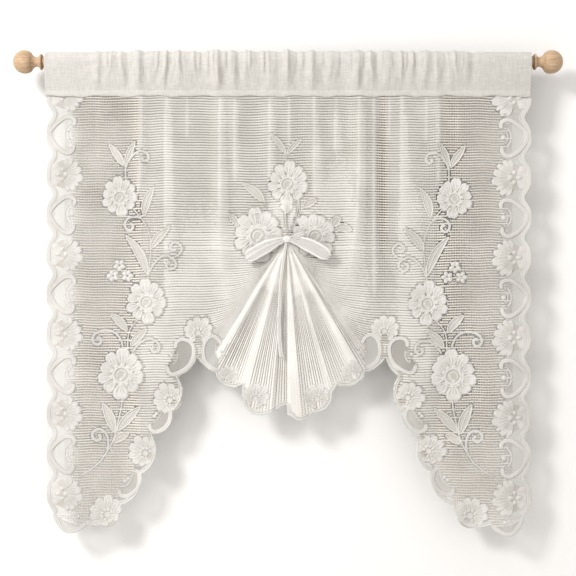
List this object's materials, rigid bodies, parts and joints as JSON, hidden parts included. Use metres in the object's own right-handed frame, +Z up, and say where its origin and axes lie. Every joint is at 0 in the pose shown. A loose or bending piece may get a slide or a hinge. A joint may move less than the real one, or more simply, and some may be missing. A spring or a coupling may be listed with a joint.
{
  "type": "lace cafe curtain with a wooden rod",
  "caption": "Lace cafe curtain gathered on a wooden rod with ball ends, its middle pinched up by a ribbon bow between two long scalloped side tails.",
  "frame": {"origin": "middle of the rod's axis", "axes": "+X along the rod to the curtain's right as seen from the front, +Z up, and the curtain's front faces -Y"},
  "size_m": [1.17, 0.0583, 1.0347],
  "materials": {
    "wood": "satin",
    "linen": "matte",
    "lace": "matte",
    "ribbon": "satin"
  },
  "bodies": {
    "root": {"rod": "wood", "finial_left": "wood", "finial_right": "wood", "heading": "linen", "lace_panel": "lace", "tie": "ribbon"}
  },
  "joints": []
}
